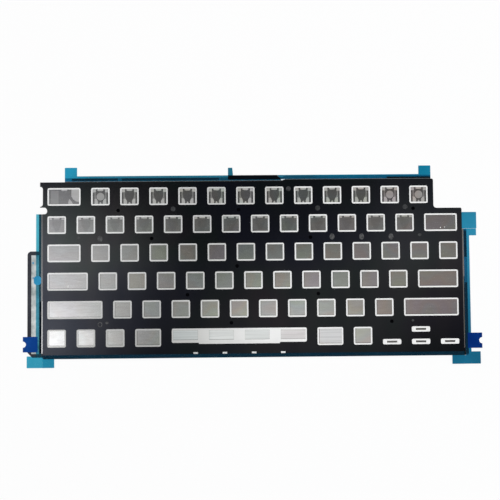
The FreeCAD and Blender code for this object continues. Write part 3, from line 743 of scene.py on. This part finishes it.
def print_function_row():
    """A dark shield between two stripes, with pale blocks around it and a disc on a few keys."""
    boxes = clear_boxes(FUNCTION_ROW)
    escape = boxes[:1]
    others = boxes[1:]
    pale_blocks = in_boxes(escape, ESCAPE_PALE) + in_boxes(others, PALE_BLOCKS)
    side_bands = in_boxes(escape, [ESCAPE_PANEL]) + in_boxes(others, SIDE_BANDS)
    discs = []
    for left, bottom, right, top in (boxes[key] for key in DISC_KEYS):
        discs.append(ellipse((left + right) / 2, (bottom + top) / 2, DISC_RADIUS, DISC_RADIUS))
    guide_print("function_shields", in_boxes(others, SHIELDS), silver_material("print_dark"))
    guide_print("escape_shield", in_boxes(escape, [ESCAPE_SHIELD]), silver_material("print_escape"))
    guide_print("function_pale_blocks", pale_blocks, silver_material("print_pale"))
    guide_print("function_side_bands", side_bands, silver_material("print_mid"))
    guide_print("function_discs", discs, silver_material("disc_pale"), SECOND_PRINT)


def print_number_row():
    """Faint bars, blocks and traces of a shield in all windows but the last."""
    boxes = clear_boxes(NUMBER_ROW)[:-1]
    guide_print("soft_blocks", in_boxes(boxes, FAINT_BLOCKS), silver_material("print_soft"))
    guide_print("number_bars", in_boxes(boxes, FAINT_BARS), silver_material("print_faint"))
    guide_print("number_traces", in_boxes(boxes, [TRACE]), silver_material("print_trace"))


def print_window_shadow_lines():
    """A painted shadow: a thin grey line along the left side and the foot of the lower rows' windows."""
    lines = []
    for row in SHADOW_LINE_ROWS:
        for index, (left, bottom, right, top) in enumerate(clear_boxes(row)):
            if (row, index) == (BOTTOM_ROW, SPACE_KEY):
                continue
            start = left + SHADOW_LINE_GAP
            low = bottom + SHADOW_LINE_GAP
            lines.append(rectangle(start, low, start + SHADOW_LINE_WIDTH, top - SHADOW_LINE_GAP))
            lines.append(rectangle(start + SHADOW_LINE_WIDTH, low, right - SHADOW_LINE_GAP, low + SHADOW_LINE_WIDTH))
    guide_print("window_shadow_lines", lines, silver_material("shadow_line_grey"))


def print_arrow_slots():
    """A dark print in each narrow slot of the arrow windows."""
    half_width, half_height = ARROW_PRINT[0] / 2, ARROW_PRINT[1] / 2
    prints = []
    for units, y in ARROW_SLOTS:
        x = GRID_CORNER[0] + units * KEY_PITCH[0]
        prints.append(rectangle(x - half_width, y - half_height, x + half_width, y + half_height))
    guide_print("arrow_prints", prints, silver_material("slot_dark"))


def print_window_hues():
    """A weak hue of its own in most windows of the middle rows."""
    names = list(WINDOW_HUES)
    panes = {name: [] for name in names}
    for row in HUE_ROWS:
        for index, box in enumerate(clear_boxes(row)):
            if index >= FIRST_HUE_KEY:
                panes[names[(HUE_STEP * index + row) % len(names)]].append(pane_in(box))
    for name, hue in WINDOW_HUES.items():
        guide_print("window_hue_" + name, panes[name], silver_material("hue_" + name, hue))


def print_pale_panes():
    """Pale panes: four in the long window, each with a painted shadow line at its foot, and two right of
    it.
    """
    boxes = clear_boxes(BOTTOM_ROW)
    space_left = boxes[SPACE_KEY][0]
    space_right = boxes[SPACE_KEY][2]
    pane_length = (space_right - space_left - (PANE_COUNT - 1) * PANE_BAR) / PANE_COUNT
    foot = PANE_LOW + PANE_INSET
    panes = []
    shade_lines = []
    for index in range(PANE_COUNT):
        start = space_left + index * (pane_length + PANE_BAR) + PANE_INSET
        end = start + pane_length - 2 * PANE_INSET
        panes.append(rectangle(start, foot + PANE_SHADE_LINE, end, PANE_HIGH - PANE_INSET))
        shade_lines.append(rectangle(start, foot, end, foot + PANE_SHADE_LINE))
    pale = pane_material("pane_pale")
    guide_print("command_pane", [pane_in(boxes[COMMAND_KEY])], pale)
    guide_print("option_pane", [pane_in(boxes[OPTION_KEY])], silver_material("option_pale"))
    guide_print("space_panes", panes, pale)
    # Painted shadow along each pane's foot
    guide_print("space_pane_shade_lines", shade_lines, pane_material("pane_foot_shade", FOOT_SHADE_STRENGTH))


def print_lips():
    """A dull edge on the left lip, a painted highlight on the lip further down with a dark rim beside it,
    and a dark rim on the right lip.
    """
    dull = rectangle(DULL_LIP_LEFT, LEFT_LIP_STEP, LEFT_LIP_INNER, LEFT_LIP_HEAD)
    # Painted highlight on the lower part of the left lip
    pale = rectangle(HIGHLIGHT_LIP_LEFT, LEFT_LIP_FOOT, LEFT_LIP_INNER, LEFT_LIP_STEP)
    left_rim = rectangle(GUIDE_LEFT + RIM_INSET, LEFT_LIP_FOOT, HIGHLIGHT_LIP_LEFT - RIM_INSET, LEFT_LIP_STEP)
    right_rim = rectangle(RIGHT_LIP_INNER, RIGHT_LIP_FOOT, GUIDE_RIGHT - RIM_INSET, RIGHT_LIP_HEAD)
    guide_print("left_lip_edge", [dull], silver_material("lip_grey"))
    guide_print("lip_shades", [left_rim, right_rim], TAPE)
    guide_print("left_lip_highlight", [pale], silver_material("lip_painted_highlight"))


def add_specks():
    outlines = [ellipse(x, y, radius, radius, SPECK_SIDES) for x, y, radius in SPECKS]
    guide_print("window_specks", outlines, FINISHES["window_frame_film"], SECOND_PRINT)


# Holes, marks, tape and residue

def add_hole_shade_cups():
    """A dark cup in each relief hole: painted shade over the hole's walls and floor."""
    holes = []
    for row, places in RELIEF_HOLES.items():
        holes += [(*grid_place(units, row), HOLE_RADIUS, HOLE_RADIUS) for units in places]
    turned("relief_hole_shade_cups", holes, CUP_RINGS, plain_film("hole_painted_shade"))


def add_marks():
    """Low domes of grey gum on the mask, and one loop."""
    dome = [(share, MASK_TOP + MARK_GAP + rise) for share, rise in DOME_PROFILE]
    loop = [(share, MASK_TOP + MARK_GAP + rise) for share, rise in LOOP_PROFILE]
    pale = plain_film("mark_grey")
    turned("round_marks", ROUND_MARKS, dome, plain_film("mark_dark"))
    turned("oval_marks", OVAL_MARKS, dome, pale)
    turned("small_marks", SMALL_MARKS, dome, plain_film("mark_faint"))
    turned("loop_marks", LOOP_MARKS, loop, pale, looped=True)


def add_tape_ends():
    """Black tape that shows over the liner at the top right, and over the foot of the right lip."""
    over_liner = layer(node_top("top_right_liner"), SMEAR_THICKNESS)
    thin_shapes("top_right_tape_edge", [TAPE_EDGE], over_liner, TAPE)
    thin_shapes("right_lip_end", [rectangle(*LIP_END)], PRINT, TAPE)


def add_residue():
    """Blue residue on the white strip."""
    heights = layer(node_top("flex_cover_strip"), SMEAR_THICKNESS)
    thin_shapes("residue", [UPPER_RESIDUE, LOWER_RESIDUE], heights, PATCH)


# Floor, camera and light

def add_floor():
    corners = rectangle(-FLOOR_HALF, -FLOOR_HALF, FLOOR_HALF, FLOOR_HALF)
    mesh = bpy.data.meshes.new("floor")
    mesh.from_pydata([(x, y, -FLOOR_DROP) for x, y in corners], [], [(0, 1, 2, 3)])
    floor = bpy.data.objects.new("floor", mesh)
    scene.collection.objects.link(floor)
    dress(floor, floor_material())


def add_camera():
    """A camera nearly straight above the middle of the panel. Returns where it stands."""
    turn = Matrix.Rotation(CAMERA_TURN.length, 3, CAMERA_TURN.normalized())
    to_view = Matrix(((1, 0, 0), (0, -1, 0), (0, 0, -1))) @ turn
    view_axes = Matrix((to_view[0], -to_view[1], -to_view[2])).transposed()
    eye = Vector((0, 0, MASK_TOP * MM)) - to_view.transposed() @ CAMERA_OFFSET
    camera_data = bpy.data.cameras.new("camera")
    camera_data.lens = LENS_MM
    camera_data.sensor_width = SENSOR_MM
    camera_data.sensor_fit = "HORIZONTAL"
    camera_data.clip_start = CLIP_START
    camera = bpy.data.objects.new("camera", camera_data)
    camera.matrix_world = Matrix.Translation(eye) @ view_axes.to_4x4()
    scene.collection.objects.link(camera)
    scene.camera = camera
    return eye


def soft_box(paint, slope, eye, centre, reach, strength):
    """A smooth bright patch overhead, by the place on the panel where the camera sees it mirrored."""
    middle = ((centre[0] - eye.x) / eye.z, (centre[1] - eye.y) / eye.z, 1)
    per_reach = (eye.z / reach[0], eye.z / reach[1], 0)
    away = paint.node("VectorMath", {0: slope, 1: middle}, operation="SUBTRACT")
    shares = paint.node("VectorMath", {0: away.outputs["Vector"], 1: per_reach}, operation="MULTIPLY")
    distance = paint.node("VectorMath", {0: shares.outputs["Vector"]}, operation="LENGTH")
    fade = paint.node("MapRange", {"Value": distance.outputs["Value"], "To Min": strength, "To Max": 0.0},
                      interpolation_type="SMOOTHSTEP")
    return fade.outputs["Result"]


def add_sky(eye):
    """Studio sky: dark overhead, pale at the horizon, with soft boxes that the panel mirrors."""
    world = bpy.data.worlds.new("studio")
    scene.world = world
    world.use_nodes = True
    paint = Paint(world.node_tree)
    direction = paint.node("TexCoord", {}).outputs["Generated"]
    height = paint.node("SeparateXYZ", {"Vector": direction}).outputs["Z"]
    upward = paint.node("Math", {0: height, 1: LOWEST_SLOPE}, operation="MAXIMUM")
    slope = paint.node("VectorMath", {0: direction, 1: upward.outputs["Value"]}, operation="DIVIDE")
    sky = paint.ramp(height, SKY_STOPS)
    for box in SOFT_BOXES:
        sky = paint.mix(sky, soft_box(paint, slope.outputs["Vector"], eye, *box), "ADD")
    paint.feed(world.node_tree.nodes["Background"], {"Color": sky})


def add_lamps():
    """Two broad lamps aimed at the part, which it doesn't mirror."""
    for name, (place, watts) in LAMPS.items():
        light = bpy.data.lights.new(name, "AREA")
        light.shape = "RECTANGLE"
        light.size = LAMP_SIZE
        light.size_y = LAMP_SIZE
        light.energy = watts
        lamp = bpy.data.objects.new(name, light)
        lamp.location = place
        lamp.rotation_euler = (-Vector(place)).to_track_quat("-Z", "Y").to_euler()
        lamp.visible_glossy = False
        scene.collection.objects.link(lamp)


lift_liners()
print_function_row()
print_number_row()
print_window_shadow_lines()
print_arrow_slots()
print_window_hues()
print_pale_panes()
print_lips()
add_specks()
add_hole_shade_cups()
add_marks()
add_tape_ends()
add_residue()
add_floor()
add_sky(add_camera())
add_lamps()
